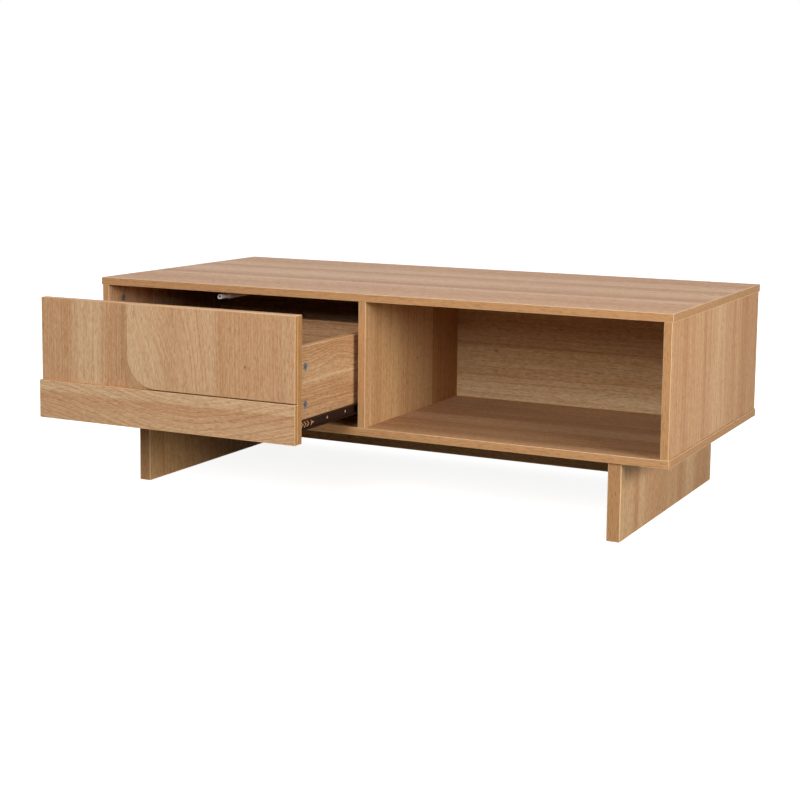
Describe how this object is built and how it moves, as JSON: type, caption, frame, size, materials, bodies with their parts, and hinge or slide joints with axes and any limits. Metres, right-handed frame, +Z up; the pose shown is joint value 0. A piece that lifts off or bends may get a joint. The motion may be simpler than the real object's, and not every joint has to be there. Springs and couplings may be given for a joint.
{
  "type": "coffee table",
  "caption": "Low rectangular coffee table of oak-look boards on plank legs, with a push-open drawer whose front has a raised, round-cornered panel, beside an open shelf bay.",
  "frame": {"origin": "on the floor, under the middle of the whole outline with the drawer standing open as it is stored", "axes": "+X to the right seen from the front, along the table's length; -Y is the front, the way the drawer opens; +Z up"},
  "size_m": [1.2, 0.817, 0.412],
  "materials": {
    "oak_laminate": "oak-look laminate, satin",
    "drawer_floor_board": "thin faced fibreboard",
    "dowel_beech": "plain beech",
    "cam_zinc": "die-cast zinc",
    "fastener_steel": "zinc-plated",
    "runner_black": "dark coated steel",
    "runner_screw_black": "black screws",
    "cage_steel": "bare steel strip",
    "ball_steel": "polished",
    "latch_light_grey": "light grey moulded",
    "latch_dark_grey": "dark grey moulded",
    "latch_brown_tip": "brown soft core"
  },
  "bodies": {
    "carcase": {"bottom_panel": "oak_laminate", "carcase_base_screws": "fastener_steel", "carcase_cam_bolts": "fastener_steel", "carcase_cam_locks": "cam_zinc", "carcase_dowels": "dowel_beech", "centre_divider": "oak_laminate", "drawer_bay_back": "oak_laminate", "left_leg": "oak_laminate", "left_runner_fixed_member": "runner_black", "left_side_panel": "oak_laminate", "leg_cam_bolts": "fastener_steel", "leg_cam_locks": "cam_zinc", "leg_dowels": "dowel_beech", "leg_stretcher": "oak_laminate", "push_latch_housing": "latch_dark_grey", "push_latch_screws": "fastener_steel", "push_latch_spring": "fastener_steel", "right_leg": "oak_laminate", "right_runner_fixed_member": "runner_black", "right_side_panel": "oak_laminate", "runner_wall_screws": "runner_screw_black", "shelf_bay_back": "oak_laminate", "top_panel": "oak_laminate"},
    "drawer": {"drawer_back": "oak_laminate", "drawer_cam_bolts": "fastener_steel", "drawer_cam_locks": "cam_zinc", "drawer_dowels": "dowel_beech", "drawer_floor": "drawer_floor_board", "drawer_front_board": "oak_laminate", "drawer_front_lower_plank": "oak_laminate", "drawer_front_raised_panel": "oak_laminate", "drawer_left_side": "oak_laminate", "drawer_right_side": "oak_laminate", "left_runner_drawer_member": "runner_black", "right_runner_drawer_member": "runner_black", "runner_drawer_screws": "runner_screw_black"},
    "left_ball_cage": {"left_runner_ball_cage": "cage_steel", "left_runner_balls": "ball_steel"},
    "right_ball_cage": {"right_runner_ball_cage": "cage_steel", "right_runner_balls": "ball_steel"},
    "latch_plunger": {"push_latch_plunger": "latch_light_grey", "push_latch_tip": "latch_brown_tip"}
  },
  "joints": [
    {"name": "drawer_slide", "type": "slide", "parent": "carcase", "child": "drawer", "axis": [0, -1, 0], "range_m": [-0.227, 0.033]},
    {"name": "left_cage_roll", "type": "slide", "parent": "carcase", "child": "left_ball_cage", "axis": [0, -1, 0], "range_m": [-0.1135, 0.0165]},
    {"name": "right_cage_roll", "type": "slide", "parent": "carcase", "child": "right_ball_cage", "axis": [0, -1, 0], "range_m": [-0.1135, 0.0165]},
    {"name": "latch_press", "type": "slide", "parent": "carcase", "child": "latch_plunger", "axis": [0, 1, 0], "range_m": [0, 0.02], "stiffness_N_per_m": 200, "springref_m": -0.01, "deforming": ["push_latch_spring"]}
  ],
  "couplings": [
    {"joint": "left_cage_roll", "follows": "drawer_slide", "ratio": 0.5},
    {"joint": "right_cage_roll", "follows": "drawer_slide", "ratio": 0.5}
  ]
}
